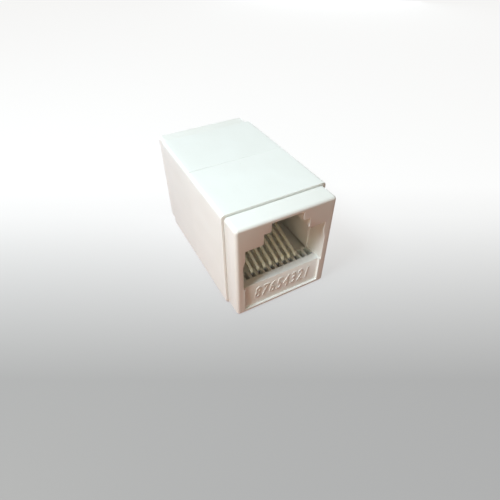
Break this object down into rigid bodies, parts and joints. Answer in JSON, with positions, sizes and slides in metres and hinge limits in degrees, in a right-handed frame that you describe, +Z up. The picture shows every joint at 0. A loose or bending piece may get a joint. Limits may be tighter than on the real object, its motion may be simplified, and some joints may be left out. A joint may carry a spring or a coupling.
{
  "type": "rj45 inline coupler",
  "caption": "Small white inline coupler with an eight-way modular jack at each end, spring contacts and a two-piece case, for joining two network patch cords end to end.",
  "frame": {"origin": "mid-length and mid-width of the coupler, on the underside of the case", "axes": "+Y along the coupler from the near jack to the far jack, +Z up with both latch keyways on top, +X to the right seen from the near jack"},
  "size_m": [0.0152, 0.0264, 0.0158],
  "materials": {
    "case_plastic": "satin moulded",
    "jack_plastic": "satin moulded",
    "carrier_plastic": "matt moulded",
    "board_laminate": "solder resist over glass laminate",
    "contact_plating": "gold flash over nickel"
  },
  "bodies": {
    "root": {"near_case_half": "case_plastic", "far_case_half": "case_plastic", "near_jack_housing": "jack_plastic", "far_jack_housing": "jack_plastic", "near_contact_carrier": "carrier_plastic", "far_contact_carrier": "carrier_plastic", "circuit_board": "board_laminate", "near_contact_1": "contact_plating", "near_contact_2": "contact_plating", "near_contact_3": "contact_plating", "near_contact_4": "contact_plating", "near_contact_5": "contact_plating", "near_contact_6": "contact_plating", "near_contact_7": "contact_plating", "near_contact_8": "contact_plating", "far_contact_1": "contact_plating", "far_contact_2": "contact_plating", "far_contact_3": "contact_plating", "far_contact_4": "contact_plating", "far_contact_5": "contact_plating", "far_contact_6": "contact_plating", "far_contact_7": "contact_plating", "far_contact_8": "contact_plating"}
  },
  "joints": []
}
